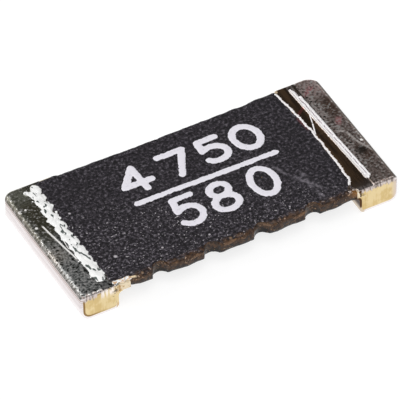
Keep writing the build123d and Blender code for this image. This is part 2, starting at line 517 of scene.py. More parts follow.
def tin_top(tin, side, settings):
    """Colour, light marks and relief of the tin on top of one bar. Its dark parts are painted reflection of
    a dark room, its white specks painted glints and some of its light marks painted highlights.
    """
    cloud = tin.noise(2.0, 3.0, 0.6)
    speck = tin.noise(21.0, 2.0, 0.6)
    if side == "left":
        frost = (1.2 * cloud - tin.y).step(0.2, 1.1) + (0.3 * cloud + tin.x).step(-2.80, -2.94, 0.0, 0.25)
        frost = frost.math("MINIMUM", 1.0)
        top = tin.layers(settings.left_tin_dark_reflection).over(frost, settings.tin_frost)
        top.over(tin.blob(-3.06, -0.36, 0.34, 0.9), (0.86, 0.83, 0.79))
        top.over(tin.blob(-2.95, 1.30, 0.40, 0.9), (0.66, 0.66, 0.60))
        shade = tin.marks(tin.line, *LEFT_SHADES)
        marks = tin.marks(tin.line, *LEFT_HIGHLIGHTS_AND_SCRATCHES) | tin.marks(tin.blob, *LEFT_SPOTS)
        # The rim is painted shade on the top where it rounds over the outer end.
        rim, rim_shade_colour, glint_strength = tin.x.step(-3.09, -3.15, 0.0, 0.65), (0.42, 0.39, 0.36), 1.0
    else:
        patches = tin.noise(2.2, 4.0, 0.65, stretch=(1.5, 0.7, 1.0), shift=(3, 0, 0)).step(0.40, 0.60)
        inner = (0.25 * cloud + tin.x).step(3.10, 2.86)
        frost = patches * inner.step(0.0, 1.0, 0.45, 1.0) | inner * 0.55
        frost = frost | tin.line((2.77, 1.20), (2.80, 0.30), 0.18, 0.12) | tin.blob(3.05, 1.30, 0.20, 0.8)
        top = tin.layers(settings.right_tin_dark_reflection).over(frost, (0.88, 0.81, 0.79))
        top.over(tin.blob(2.95, 1.22, 0.40, 0.9), (0.96, 0.85, 0.83))
        # Painted pink highlights.
        top.over(0.9 * tin.marks(tin.line, *PINK_HIGHLIGHTS), (1.0, 0.72, 0.73))
        shade = tin.blob(2.93, -0.62, 0.16, 0.8)
        marks = 0.38 * tin.marks(tin.line, *PALE_CURVE) | tin.blob(3.058, -0.391, 0.038)
        rim, rim_shade_colour, glint_strength = tin.x.step(HALF_LENGTH - 0.10, HALF_LENGTH - 0.05), (0.24, 0.19, 0.14), 0.9
    # Painted glints: white specks where the tin grain catches the lamps, weaker on the right.
    top.over((0.06 * frost + speck).step(0.56, 0.69, 0.0, glint_strength), WHITE_GLINT_AND_MARK)
    top.over(speck.step(0.49, 0.37) * frost.step(0.0, 1.0, 0.5, 1.0), DARK_GRAIN_AND_SHADE)
    top.over(0.75 * shade, DARK_GRAIN_AND_SHADE).over(marks, WHITE_GLINT_AND_MARK).over(rim, rim_shade_colour)
    drawn = tin.noise(26.0, stretch=(1.0, 0.3, 0.3))
    hem = (tin.y - 0.20 * drawn).step(-HALF_WIDTH - 0.05, -HALF_WIDTH - 0.09)
    return top.over(hem, hem_colour(tin, settings)), marks, speck


def hem_colour(tin, settings):
    """Tin dragged down over a sheared edge, in light and dull streaks."""
    drawn = tin.noise(30.0, 3.0, 0.6, stretch=(1.0, 0.25, 0.25))
    return tin.layers(settings.tin_hem).over(drawn.step(0.56, 0.40), (0.56, 0.51, 0.49))


def tin_material(side, settings):
    """Matt bright tin, with mottling, specks and handling marks on its top: the dull dark mottling is
    painted reflection of a dark room, the white specks are painted glints and some marks are painted
    highlights.
    """
    tin = Recipe(side + "_tin", settings.tin_end, 0.3, 1.0)
    top, marks, speck = tin_top(tin, side, settings)
    out = abs(tin.x)
    step_face = tin.facing("X", 0.3, 0.6) if side == "left" else tin.facing("X", -0.3, -0.6)
    upward = tin.facing("Z", 0.30, 0.45) | step_face * out.step(2.52, 2.54)
    flank = tin.facing("Y", -0.5, -0.8) * out.step(2.50, 2.47) * tin.z.step(0.10, 0.16)
    rolled = tin.noise(20.0, stretch=(1.0, 0.04, 1.0))
    ends = tin.layers(settings.tin_end).over(rolled.step(0.40, 0.62), (0.91, 0.885, 0.885))
    ends.over(tin.z.step(0.34, 0.12), (0.955, 0.935, 0.935))
    # Painted shade: two dark lines across the end face where the rounded top edge turns down.
    sway = 0.02 * tin.noise(1.5) + tin.z
    ends.over(sway.band(TOP - 0.09, 0.020) | 0.6 * sway.band(TOP - 0.135, 0.018), (0.60, 0.49, 0.43))
    inward = out.step(2.50, 2.46)
    if side == "left":
        ends.over(inward, (0.84, 0.72, 0.54)).over(flank, settings.gold)
    else:
        # Painted shade: the inner face of the right foot is painted dark high up, under the coating.
        under = tin.layers((0.86, 0.80, 0.72)).over(tin.z.step(0.10, 0.22), (0.22, 0.15, 0.09))
        ends.over(inward, under).over(flank, settings.gold)
        ends.over(flank * tin.x.step(2.45, 2.43), settings.run_out)
        # Painted dark reflection on the right tin's step, which faces the middle.
        top.over(step_face, (0.16, 0.13, 0.10))
    tin.use(Base_Color=ends.over(upward, top), Metallic=1 - 0.9 * marks * upward)
    tin.use(Roughness=upward.step(0.0, 1.0, 0.26, 0.36))
    tin.bump((speck - 0.4 * marks) * upward, 0.010, 0.7)
    return tin.material


def rim_depth(cut, settings):
    """How far a point of the bar's section lies inside its outline at the outer end, in millimetres."""
    depths = []
    for radius, height in ((settings.end_heel_radius, cut.z), (settings.end_top_radius, TOP - cut.z)):
        aside = (abs(cut.x) + (radius - HALF_LENGTH)) | 0.0
        above = (radius - height) | 0.0
        depths.append(radius - (aside * aside + above * above).math("SQRT"))
    return depths[0].math("MINIMUM", depths[1])


def cut_face(cut, side, settings):
    """Colour and relief of sheared copper alloy, with tin dragged down over its edges."""
    out = abs(cut.x)
    drag = cut.noise(34.0, stretch=(1.0, 1.0, 0.10))
    level = 0.25 * drag + 0.75 * cut.noise(4.0, 3.0, 0.6)
    face = cut.layers(settings.gold).over(level.step(0.56, 0.40), settings.gold_deep)
    if side == "left":
        # Painted shade: a darker line on the cut face just inside its rounded outer edges.
        outline = rim_depth(cut, settings).band(0.062, 0.055) * out.step(2.62, 3.08, 0.15, 0.85)
        face.over(outline, (0.50, 0.36, 0.17))
        slope, ragged = 0.10, out.step(3.02, 2.82, 0.14, 0.55)
    else:
        face.over(out.step(3.00, 3.13, 0.0, 0.9), (0.86, 0.80, 0.76))
        slope, ragged = 0.04, 0.16
    hem = cut.z + slope * (out - 2.9) + (drag - 0.5) * ragged
    face.over(hem.step(TOP - 0.13, TOP - 0.08), hem_colour(cut, settings))
    if side == "left":
        # Painted glints: pale upright streaks on the cut face below the left seam.
        streaks = (drag + cut.x.step(-2.70, -2.45, 0.0, 0.06)).step(0.47, 0.56)
        face.over(cut.x.step(-2.86, -2.70) * cut.z.step(0.32, 0.44) * streaks, (1.0, 0.96, 0.92))
        pits = cut.x.band(-2.43, 0.10) * cut.z.band(0.45, 0.10) * cut.noise(11.0).step(0.42, 0.5)
        scars = cut.x.step(-2.58, -2.50) * cut.noise(14.0, 2.0, 0.6).step(0.57, 0.65)
        face.over(pits | scars, (0.46, 0.36, 0.20))
    return face, drag


def cut_face_material(side, settings):
    """Pale gold sheared copper alloy with fine upright drag lines."""
    cut = Recipe(side + "_cut_face", settings.gold, 0.35, 1.0)
    face, drag = cut_face(cut, side, settings)
    cut.use(Base_Color=face)
    cut.bump(drag, 0.005, 0.5)
    return cut.material


def envelope(settings):
    """The punched blank: corners rounded as seen from above, and a rolled rim all round its top."""
    blank = block((-HALF_LENGTH, -HALF_WIDTH, -TOP), (HALF_LENGTH, HALF_WIDTH, TOP))
    ends = ((-HALF_LENGTH, settings.far_left_corner), (HALF_LENGTH, settings.far_right_corner))
    for x, far_radius in ends:
        for y, radius in ((-HALF_WIDTH, settings.near_corner), (HALF_WIDTH, far_radius)):
            round_edges(blank, lambda p: close_to(p.x, x) and close_to(p.y, y), radius)
    round_edges(blank, lambda p: close_to(p.z, TOP), settings.edge_roll)
    return blank


def bar(side, inset, overrun, settings):
    """A stepped bar, drawn from its outer end at u = 0 and then placed at its end of the part."""
    foot = settings.left_foot if side == "left" else settings.right_foot
    top = TOP - inset
    neck = STRIP_LOW.z - SEAM_LAP + inset
    width = HALF_WIDTH + overrun
    piece = block((inset, -width, inset), (foot - inset, width, top))
    with editing(piece):
        bpy.ops.mesh.select_all(action="SELECT")
        bpy.ops.mesh.bisect(plane_co=(0, 0, neck), plane_no=(0, 0, 1))
        choose(piece, "FACE", lambda p: close_to(p.x, foot - inset) and p.z > neck - 1e-4)
        reach = settings.neck_radius + inset
        bpy.ops.mesh.extrude_region_move(TRANSFORM_OT_translate={"value": (reach, 0, 0)})
    edges = (
        (inset, top, settings.end_top_radius - inset),
        (inset, inset, settings.end_heel_radius - inset),
        (foot - inset, inset, settings.toe_radius - inset),
        (foot - inset, neck, settings.neck_radius + inset),
    )
    for u, z, radius in edges:
        round_edges(piece, lambda p: close_to(p.x, u) and close_to(p.z, z), radius)
    outward = -1 if side == "left" else 1
    move_points(piece, lambda p: Vector((outward * (HALF_LENGTH - p.x), p.y, p.z)))
    if side == "right":
        with editing(piece):
            bpy.ops.mesh.select_all(action="SELECT")
            bpy.ops.mesh.normals_make_consistent(inside=False)
    return piece


def weld_room(side):
    """The room in a bar for the strip and its seam, which laps over its rim so that no gap shows."""
    low, high = box_mm(side + "_weld_seam")
    past_bar = 2.0
    if side == "left":
        x_low, x_high = low.x + SEAM_LAP, low.x + past_bar
    else:
        x_low, x_high = high.x - past_bar, high.x + SEAM_LAP
    return block((x_low, -2 * HALF_WIDTH, STRIP_LOW.z), (x_high, 2 * HALF_WIDTH, 2 * TOP))


def build_bar(side, settings):
    """The cut alloy core of one terminal and the tin skin over it."""
    core = bar(side, settings.tin_thickness, 0.0, settings)
    skin = bar(side, 0.0, 0.0, settings)
    combine(skin, bar(side, settings.tin_thickness, 1.0, settings), "DIFFERENCE")
    inner_end = 2.3
    low_x, high_x = (-HALF_LENGTH, -inner_end) if side == "left" else (inner_end, HALF_LENGTH)
    for piece in (core, skin):
        combine(piece, envelope(settings), "INTERSECT")
        combine(piece, weld_room(side), "DIFFERENCE")
        slice_up(piece, 0, low_x, high_x, 0.06)
        slice_up(piece, 1, -HALF_WIDTH, HALF_WIDTH, 0.06)
        slice_up(piece, 2, 0.0, TOP, 0.08)
    roughen(skin, settings.waviness, 0.45)
    cut = cut_face_material(side, settings)
    finish_piece(core, side + "_bar", cut, side + "_terminal", 30)
    tin = tin_material(side, settings)
    finish_piece(skin, side + "_tin_skin", tin, side + "_tin_plate", 30)


# Weld seams

RIGHT_WIRE = (((2.584, 0.658), (2.516, 0.425), 0.028), ((2.522, 0.44), (2.415, 0.13), 0.034))


def left_seam(weld, proud, settings):
    """Colour of the rippled bead, painted white as its highlight, and where it stands proud of the tin."""
    bead = weld.layers(settings.bright)
    fleck = 0.09 * weld.x.band(-2.645, 0.24) + weld.noise(14.0, 1.0, stretch=(1.0, 0.45, 1.0))
    bead.over(fleck.step(0.67, 0.72), (0.34, 0.37, 0.36))
    run_down = weld.layers((0.84, 0.70, 0.56))
    run_down.over(weld.noise(16.0, 2.0, 0.6).step(0.44, 0.56), settings.bright)
    bead.over(weld.y.step(-1.37, -1.40), run_down)
    beside = abs(weld.y).step(1.44, 1.46) * weld.x.step(-2.50, -2.52)
    return bead, proud * (1 - beside)


def right_seam(weld, proud, tin, settings, bars):
    """Colour of the ridges and of the trough beside them, and where the white metal stands proud. The
    trough is painted dark as the reflection of a dark room, with painted shade on its steep faces.
    """
    leaning = settings.ridge_lean * weld.y + weld.x
    ridges = weld.layers(settings.bright).over(weld.noise(30.0), (0.98, 0.96, 0.97))
    # Painted shade in the groove where the two ridges part.
    parting_shade = leaning.band(2.656, 0.024) * abs(weld.y).step(1.26, 1.16)
    ridges.over(parting_shade * weld.noise(12.0).step(0.36, 0.46), (0.62, 0.56, 0.60))
    flow = weld.noise(9.0, 3.0, 0.6, stretch=(1.0, 0.12, 1.0))
    # Painted reflection: the dark trough.
    trough = weld.layers(settings.dark).over(flow.step(0.42, 0.62), (0.40, 0.33, 0.27))
    trough.over(leaning.step(2.595, 2.605), tin)
    # Painted shade: steep faces of the trough and faces turned to the middle are painted near black.
    slope = weld.facing("X", -0.15, -0.35) | weld.facing("Z", 0.85, 0.70)
    slope = slope * weld.x.step(2.66, 2.67) * weld.z.step(STRIP_HIGH.z, STRIP_HIGH.z + 0.01)
    trough.over(slope, (0.12, 0.10, 0.08))
    trough.over(0.7 * weld.line((2.303, 0.666), (2.64, 0.92), 0.08, 0.10), (0.72, 0.42, 0.40))
    trough.over(0.6 * weld.line((2.44, 0.10), (2.61, 0.14), 0.045), (0.62, 0.52, 0.42))
    trough.over(0.6 * weld.y.step(-1.22, -1.40), (0.52, 0.47, 0.44))
    trough.over(weld.y.step(-1.39, -1.47), hem_colour(weld, bars))
    wire = weld.marks(weld.line, *RIGHT_WIRE)
    trough.over(wire, settings.bright)
    proud = (proud | wire) * leaning.step(2.724, 2.716) * weld.y.step(-1.32, -1.29)
    lip = weld.z.step(TOP + 0.002, TOP + 0.006) * weld.x.step(2.40, 2.38)
    return ridges, trough, proud | lip


def weld_material(side, settings, bars):
    """Weld metal painted white as its highlight where the seam stands proud, and tin and cut metal where it
    runs out.
    """
    weld = Recipe(side + "_weld", settings.bright, 0.42, 0.0)
    dull, _, _ = tin_top(weld, side, bars)
    cut, drag = cut_face(weld, side, bars)
    sides = weld.facing("Y", -0.45, -0.75) | weld.facing("Y", 0.45, 0.75)
    proud = weld.z.step(STRIP_HIGH.z + 0.010, STRIP_HIGH.z + 0.016)
    if side == "left":
        white, proud = left_seam(weld, proud, settings)
        dull.over(sides, cut)
    else:
        white, dull, proud = right_seam(weld, proud, dull, settings, bars)
        buried = weld.x.step(2.43, 2.41) * weld.z.step(STRIP_HIGH.z, STRIP_HIGH.z - 0.01)
        dull.over(sides, cut).over(buried, bars.run_out)
    # Painted highlight: the proud metal is white and not metallic.
    weld.use(Base_Color=dull.over(proud, white), Metallic=proud.step(0.0, 1.0, 1.0, 0.0))
    weld.use(Roughness=(sides | proud).step(0.0, 1.0, 0.20, 0.38))
    weld.bump(drag, 0.004, 0.4)
    return weld.material


def seam_block(side, bars, rise):
    """The body of a seam, flush with the bar's cut sides and rolled edges."""
    low, high = box_mm(side + "_weld_seam")
    over_strip, over_tin = 0.03, 3 * SEAM_LAP
    x_low, x_high = low.x - over_strip, high.x + over_tin
    if side == "left":
        x_low, x_high = low.x - SEAM_LAP, high.x + over_strip
    top = STRIP_HIGH.z + rise
    body = block((x_low, -HALF_WIDTH, low.z - SEAM_LAP), (x_high, HALF_WIDTH, top))
    combine(body, envelope(bars), "INTERSECT")
    if side == "left":
        return [body]
    width = COAT_HIGH.y - 0.06
    bottom = STRIP_HIGH.z - 0.04
    land = block((low.x - 0.22, -width, bottom), (low.x + over_strip, width, top))
    slope_top = TOP - 0.003
    slope = block((high.x - SEAM_LAP, -HALF_WIDTH, bottom), (high.x + over_tin, HALF_WIDTH, slope_top))
    combine(slope, envelope(bars), "INTERSECT")
    return [body, land, slope]


def bead_drops(settings, draw):
    """Staggered overlapping drops along a core, with small teeth at both edges."""
    top = STRIP_HIGH.z
    middle, half = -2.655, 0.065
    far, near = 1.31, -1.25
    drops = [block((middle - half, near, top - 0.04), (middle + half, far, top + 0.040))]
    for i in range(round((far - near) / settings.lump_pitch) + 1):
        y = far - i * settings.lump_pitch + draw.uniform(-0.025, 0.025)
        stagger = 0.040 if i % 2 == 0 else -0.040
        bend = 0.05 * max(0.0, y - 0.8)
        x = middle + stagger + bend + draw.uniform(-0.02, 0.02)
        across, along = draw.uniform(0.070, 0.098), draw.uniform(0.11, 0.17)
        drops.append(ball(x, y, top, (across, along, settings.lump_height * draw.uniform(0.85, 1.1))))
        for edge in (-0.125, 0.120):
            tooth = (middle + edge + draw.uniform(-0.02, 0.02), y + draw.uniform(-0.05, 0.05), top)
            drops.append(ball(*tooth, (0.034, draw.uniform(0.03, 0.06), 0.034)))
    drops.append(ball(-2.79, 1.30, top + 0.020, (0.050, 0.050, 0.050)))
    return drops


def neck_flow(draw):
    """Metal that has run over the near side of the left neck, in a lumpy sheet."""
    low = STRIP_LOW.z - SEAM_LAP
    sheet = block((-2.50, -1.475, low), (-2.20, -1.39, STRIP_HIGH.z + 0.02))
    lumps = [sheet, ball(-2.44, -1.43, low - 0.005, (0.10, 0.05, 0.06))]
    start, pitch, count = -2.56, 0.026, 18
    for i in range(count):
        place = (start + pitch * i, draw.uniform(-1.475, -1.43), draw.uniform(0.43, STRIP_HIGH.z + 0.01))
        lumps.append(ball(*place, [draw.uniform(0.022, 0.042) for _ in range(3)]))
    return lumps


def build_left_weld(settings, bars):
    """A lumpy rippled bead, melted on to the body of the seam."""
    draw = random.Random(11)
    bead = join(bead_drops(settings, draw) + neck_flow(draw))
    skin_over(bead, settings.left_voxel)
    roughen(bead, 0.032, 0.05)
    bead = join([bead, *seam_block("left", bars, 0.004)])
    skin_over(bead, settings.left_voxel)
    material = weld_material("left", settings, bars)
    finish_piece(bead, "left_weld_bead", material, "left_weld_seam", 60)


def ridge(x, near, far, settings):
    """One sharp line of frozen metal, which leans across the seam and widens towards the near side."""
    half_width, crest, top = 0.022, settings.ridge_height, STRIP_HIGH.z
    piece = block((x - half_width, near, top - 0.05), (x + half_width, far, top))
    slice_up(piece, 1, near, far, 0.03)
    with editing(piece):
        choose(piece, "FACE", lambda p: close_to(p.z, top))
        bpy.ops.mesh.extrude_region_move(TRANSFORM_OT_translate={"value": (0, 0, crest)})
        pivot = (x, (near + far) / 2, top + crest)
        bpy.ops.transform.resize(value=(0.7, 0.98, 1.0), center_override=pivot)

    def sway(point):
        side = 1 if point.x > x else -1
        swell = 0.009 * wobble(point.y, side, 0.08, x)
        wide = (point.x - x) * (1 - 0.20 * point.y / HALF_WIDTH)
        return Vector((x + wide + side * swell - settings.ridge_lean * point.y, point.y, point.z))

    move_points(piece, sway)
    return piece


def coating_lip():
    """Small drops in a ragged line where the right coating ends."""
    drops = [ball(2.30, -1.42, COAT_HIGH.z - 0.015, (0.035, 0.035, 0.022))]
    near, length, count = -1.45, 2.86, 160
    for i in range(count + 1):
        y = near + length * i / count
        thick_end = 0.020 * max(0.0, (-1.25 - y) / 0.2)
        radius = 0.016 * (1 + 1.3 * wobble(y, 0.0, 0.05, 4.0)) + thick_end
        x = coating_end("right", y) + 0.014 + 0.018 * wobble(y, 0.0, 0.04, 12.0)
        drops.append(ball(x, y, COAT_HIGH.z - 0.014, (radius, 0.022, 0.024)))
    return drops


def build_right_weld(settings, bars):
    """A smooth trough with two sharp ridges on one side, and a bright lip by the coating."""
    pieces = seam_block("right", bars, 0.006)
    pieces.append(ridge(2.628, -1.27, 1.40, settings))
    pieces.append(ridge(2.686, -1.28, 1.15, settings))
    fork = 1.22
    fork_x = 2.648 - fork * settings.ridge_lean
    pieces.append(ball(fork_x, fork, STRIP_HIGH.z, (0.040, 0.15, settings.ridge_height)))
    seam = join(pieces + coating_lip())
    skin_over(seam, settings.right_voxel)
    material = weld_material("right", settings, bars)
    finish_piece(seam, "right_weld_bead", material, "right_weld_seam", 60)


def strip_material(settings):
    """Plain rolled alloy, a little darker where it was cut."""
    alloy = Recipe("bare_alloy", settings.alloy, 0.34, 0.55)
    rolled = alloy.noise(20.0, 3.0, 0.6, stretch=(0.12, 1.0, 1.0))
    patches = alloy.noise(9.0, 2.0, 0.6).step(0.50, 0.64)
    face = alloy.layers(settings.alloy).over(patches, settings.alloy_deep)
    alloy.use(Base_Color=face.over(rolled.step(0.56, 0.70), (1.0, 0.97, 0.90)))
    alloy.bump(rolled, 0.004, 0.5)
    return alloy.material


# Coating


DEEP_EPOXY = (0.06, 0.05, 0.065)
PALE_SPECKS = (
    (-2.349, 0.482, 0.031, 0.6),
    (-2.152, -0.876, 0.042, 0.6),
    (-0.457, -1.195, 0.028, 0.6),
    (-1.33, -1.08, 0.028, 0.6),
)
BRONZE_GLINTS = ((-1.93, -1.45, 0.04, 0.8), (-0.17, -1.44, 0.04, 0.8), (0.35, -1.43, 0.04, 0.8))
PITS = ((-1.04, -0.27, 0.045), (0.49, -1.05, 0.035), (1.04, -0.33, 0.05), (-0.49, -0.26, 0.05))
SMEARS = (
    ((1.283, -0.182), (1.51, -0.577), 0.10, 0.12, 1.0),
    ((1.49, -0.55), (1.937, -1.26), 0.17, 0.30, 1.0),
    ((1.721, -0.489), (1.66, -1.10), 0.17, 0.30, 1.0),
    ((1.66, -1.05), (1.812, -1.483), 0.13, 0.20, 1.0),
)


def coating_edge(epoxy, mottle, sparkle, settings):
    """Colour of the thin glossy edge: brown with painted bronze highlights and glints, and painted shadow
    along its foot.
    """
    edge = epoxy.layers((0.34, 0.24, 0.16)).over(mottle.step(0.40, 0.54), settings.epoxy_edge)
    edge.over(mottle.step(0.54, 0.64), (0.09, 0.06, 0.045))
    streak = 0.12 * epoxy.noise(5.0, 3.0, 0.6, stretch=(1.0, 0.0, 0.0)) + epoxy.z
    bits = epoxy.noise(7.0, 3.0, 0.65).step(0.50, 0.62)
    # Painted highlights: a broken bronze line along the upper part of the edge.
    edge.over(0.8 * streak.band(0.545, 0.09) * bits, (0.52, 0.39, 0.28))
    # Painted shadow: the edge darkens to near black at its foot.
    edge.over(epoxy.z.step(COAT_LOW.z + 0.14, COAT_LOW.z + 0.05), (0.05, 0.035, 0.025))
    # Painted highlight: orange-brown light on the edge beside the right foot.
    edge.over(epoxy.x.step(2.16, 2.34) * epoxy.z.step(0.38, 0.48), (0.58, 0.40, 0.20))
    glints = 0.7 * sparkle.step(0.66, 0.74) | epoxy.marks(epoxy.blob, *BRONZE_GLINTS)
    return edge.over(glints, (0.76, 0.62, 0.48))


def coating_material(settings):
    """Dark grained epoxy with specks, painted glints and a smear, browner and glossier along its near edge.
    """
    epoxy = Recipe("epoxy", settings.epoxy, 0.55, 0.0)
    epoxy.shader.inputs["Specular IOR Level"].default_value = 0.3
    grain = epoxy.noise(18.0, 3.0, 0.75)
    sparkle = epoxy.noise(24.0, 1.0, shift=(7, 0, 0))
    cloud = epoxy.noise(1.6, 3.0, 0.6)
    mottle = epoxy.noise(14.0, 3.0, 0.6)
    # Region of painted glints, towards the near edge and the left.
    glint_region = (0.8 * (cloud - epoxy.y) - 0.3 * epoxy.x).step(0.1, 1.5)
    film = epoxy.layers(settings.epoxy).over(grain.step(0.51, 0.40), DEEP_EPOXY)
    # Painted glints: pale grain where the coating catches light.
    film.over(grain.step(0.52, 0.66) * glint_region.step(0.0, 1.0, 0.70, 1.0), (0.44, 0.42, 0.45))
    film.over(cloud.step(0.45, 0.70, 0.0, 0.25), DEEP_EPOXY)
    thin = epoxy.noise(9.0, 2.0, 0.6).step(0.38, 0.62, 0.12, 0.75)
    film.over(epoxy.marks(epoxy.line, *SMEARS) * thin, (0.47, 0.45, 0.48))
    film.over(0.7 * epoxy.line((2.34, 0.72), (2.38, 0.25), 0.12, 0.03, 0.9), (0.42, 0.22, 0.24))
    # Painted glints: sparkle specks in the same region.
    glint_flecks = sparkle.step(0.66, 0.74) * glint_region.step(0.1, 0.8)
    film.over(glint_flecks | epoxy.marks(epoxy.blob, *PALE_SPECKS), (0.74, 0.72, 0.74))
    sheared = 1 - epoxy.facing("Z", 0.45, 0.85)
    brown = (sheared | (0.14 * mottle + epoxy.y).step(-1.30, -1.42, 0.0, 0.8)) * epoxy.y.step(0.8, -0.2)
    film.over(brown, coating_edge(epoxy, mottle, sparkle, settings))
    # A bright line painted on the coating near the left end: bare strip metal showing there, painted as
    # bright as its highlight.
    sliver = epoxy.line((-2.42, -1.42), (-2.03, -1.475), 0.045, 0.06) * grain.step(0.36, 0.48)
    epoxy.use(Base_Color=film.over(sliver, (0.95, 0.86, 0.72)), Roughness=brown.step(0.0, 1.0, 0.55, 0.25))
    epoxy.bump(grain, 0.008, 0.6)
    return epoxy.material


def coating_end(side, y):
    """Where the coating ends on the bare land at this place across the strip."""
    across = y / HALF_WIDTH
    if side == "left":
        scallop = 0.016 * math.sin(2 * math.pi * y / 0.25) + 0.024 * wobble(y, 0, 0.11, 3.0)
        lean = 0.04 * across**2 + (0.03 * across if y > 0 else -0.02 * across)
        return -2.570 + lean + scallop
    jag = 0.012 * wobble(y, 0, 0.035, 7.0) + 0.020 * wobble(y, 0, 0.18, 9.0)
    corner = 0.11 * max(0.0, (-1.15 - y) / 0.25)
    return COAT_HIGH.x - 0.02 - 0.12 * (across**2 if y > 0 else 0.5 * across**2) - corner + jag


def coating_wrap(left, right):
    """The wrap round the strip. Its underside lifts towards the ends, and its edges wander."""
    half = COAT_HIGH.y
    wrap = block((left, -half, COAT_LOW.z), (right, half, COAT_HIGH.z))
    for height, radius in ((COAT_LOW.z, 0.09), (COAT_HIGH.z, 0.065)):
        round_edges(wrap, lambda p: close_to(p.z, height) and close_to(abs(p.y), half), radius, 4)
    slice_up(wrap, 0, left, right, 0.06)
    run = 0.70

    def settle(point):
        x, y, z = point
        inward = min(x - left, right - x) / run
        lift = 0.07 * max(0.0, 1 - inward) ** 2 * (COAT_HIGH.z - z) / (COAT_HIGH.z - COAT_LOW.z)
        edge = abs(y) / half
        waist = 0.035 * math.cos(math.pi * x / (right - left)) if y > 0 else 0.0
        sway = 0.030 * wobble(x, 0, 0.30, 1.0 if y > 0 else 2.0)
        return Vector((x, y * (1 - edge * (waist + sway) / half), z + lift))

    move_points(wrap, settle)
    return wrap


def coating_lap():
    """A thin lap over the bare land at each end, with a ragged edge."""
    half = HALF_WIDTH - 0.09
    lap = block((COAT_LOW.x, -half, STRIP_HIGH.z - 0.05), (COAT_HIGH.x, half, COAT_HIGH.z))
    slice_up(lap, 1, -HALF_WIDTH, HALF_WIDTH, 0.02)

    def ragged(point):
        side = "left" if point.x < 0 else "right"
        return Vector((coating_end(side, point.y), point.y, point.z))

    move_points(lap, ragged)
    return lap


def edge_runs(left, right):
    """Coating that has run on along the strip's edges, past the wrap's ends."""
    half, past, inside = COAT_HIGH.y, 0.105, 0.1
    near = ((right - inside, -half, COAT_LOW.z + 0.06), (right + past, -half + 0.12, STRIP_HIGH.z - 0.01))
    low, far = STRIP_LOW.z, half - 0.012
    far_left = ((-2.52, far - 0.1, low), (left + inside, far, COAT_HIGH.z))
    far_right = ((right - inside, far - 0.1, low), (2.30, far, COAT_HIGH.z))
    return [block(*corners) for corners in (near, far_left, far_right)]


def cut_notches(body, settings):
    """Bites four uneven notches out of the near edge."""
    radius, pitch, count = 0.165, 1.01, 4
    centre = -COAT_HIGH.y - radius + settings.notch_depth
    for number in range(count):
        x = -0.055 + (number - (count - 1) / 2) * pitch
        place = (x, centre, 0.4)
        clear_selection()
        bpy.ops.mesh.primitive_cylinder_add(vertices=48, radius=radius, depth=1.0, location=place)
        bite = fix_place()

        def uneven(point):
            spoke = Vector((point.x - x, point.y - centre, 0))
            stretch = 1 + 0.12 * wobble(spoke.x, spoke.y, 0.12, number + 0.5)
            return Vector((x + spoke.x * stretch, centre + spoke.y * stretch, point.z))

        move_points(bite, uneven)
        combine(body, bite, "DIFFERENCE")


def build_coating(settings):
    """Epoxy wrap round the strip, with a thin lap over the land at each end."""
    left, right = COAT_LOW.x + 0.295, COAT_HIGH.x - 0.07
    body = join([coating_wrap(left, right), coating_lap(), *edge_runs(left, right)])
    skin_over(body, settings.voxel)
    cut_notches(body, settings)
    skin_over(body, settings.voxel)
    roughen(body, settings.grain_height, 0.05)
    roughen(body, 0.014, 0.16)

    def pitted(point):
        dip = 0.0
        if point.z > COAT_HIGH.z - 0.04:
            for x, y, radius in PITS:
                away = math.hypot(point.x - x, point.y - y) / radius
                dip = max(dip, 0.03 * max(0.0, 1 - away**2))
        return Vector((point.x, point.y, point.z - dip))

    move_points(body, pitted)
    finish_piece(body, "epoxy_coating", coating_material(settings), "coating", 60)


# Print


def arc(x, y, across, up, start, end, count=16):
    """Points along part of an ellipse, in a digit's own unit box. Angles are in degrees."""
    turns = [math.radians(start + (end - start) * i / count) for i in range(count + 1)]
    return [(x + across * math.cos(turn), y + up * math.sin(turn)) for turn in turns]


def digit_strokes():
    """Pen strokes of the digits that the print uses, each in a box 1 wide and 1 high."""
    return {
        "0": [arc(0.5, 0.5, 0.5, 0.5, 90, 450, 32)],
        "4": [[(1.0, 0.30), (0.0, 0.30), (0.66, 1.0), (0.66, 0.0)]],
        "5": [[(0.92, 1.0), (0.14, 1.0), (0.06, 0.56)] + arc(0.46, 0.33, 0.52, 0.33, 128, -142, 20)],
        "7": [[(0.0, 1.0), (1.0, 1.0), (0.34, 0.0)]],
        "8": [arc(0.5, 0.77, 0.40, 0.23, 90, 450, 24), arc(0.5, 0.27, 0.5, 0.27, 90, 450, 24)],
    }


def pen_line(points, width):
    """A round pen stroke through points: a tube for each run and a ball at each point."""
    clear_selection()
    curve = bpy.data.curves.new("pen", "CURVE")
    curve.dimensions = "3D"
    curve.bevel_depth = width / 2
    curve.bevel_resolution = 4
    curve.use_fill_caps = True
    for run in zip(points, points[1:]):
        spline = curve.splines.new("POLY")
        spline.points.add(1)
        for place, (x, y) in zip(spline.points, run):
            place.co = (x, y, 0.0, 1.0)
    stroke = bpy.data.objects.new("pen", curve)
    bpy.context.collection.objects.link(stroke)
    make_active(stroke)
    bpy.ops.object.convert(target="MESH")
    return [bpy.context.object] + [ball(x, y, 0.0, (width / 2,) * 3) for x, y in points]


def row_of_digits(text, places, low, high, lean, stroke):
    """Pen strokes of one row. Each place gives a digit's middle and width, and lean tilts them."""
    pieces = []
    shapes = digit_strokes()
    for digit, (middle, width) in zip(text, places):
        for points in shapes[digit]:
            line = []
            for u, v in points:
                y = low + stroke / 2 + v * (high - low - stroke)
                x = middle + (u - 0.5) * (width - stroke) + lean * (y - (low + high) / 2)
                line.append((x, y))
            pieces += pen_line(line, stroke)
    return pieces


